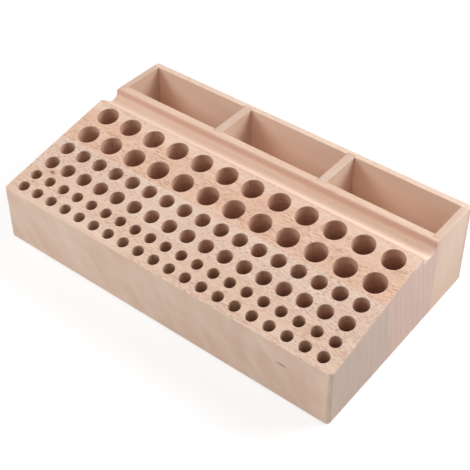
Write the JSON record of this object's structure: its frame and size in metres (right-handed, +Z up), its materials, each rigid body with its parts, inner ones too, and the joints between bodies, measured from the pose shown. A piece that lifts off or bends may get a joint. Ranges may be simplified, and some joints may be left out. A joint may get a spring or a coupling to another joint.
{
  "type": "wooden tool holder block",
  "caption": "Low wooden bench block for hand tools: a sloping deck of blind holes in graded sizes, a rounded groove behind it, and an open divided tray along the back.",
  "frame": {"origin": "middle of the footprint, on the surface that the block stands on", "axes": "+X along the length to the right, +Y to the back, where the tray is, and +Z up"},
  "size_m": [0.3, 0.176, 0.071],
  "materials": {
    "deck_beech": "sanded, bare",
    "rail_beech": "sanded, bare",
    "tray_beech": "sanded, bare"
  },
  "bodies": {
    "root": {"front_stave": "deck_beech", "middle_stave": "deck_beech", "rear_stave": "deck_beech", "cove_rail": "rail_beech", "tray_bed": "tray_beech", "back_board": "tray_beech", "right_end_board": "tray_beech", "left_end_board": "tray_beech", "divider_1": "tray_beech", "divider_2": "tray_beech"}
  },
  "joints": []
}
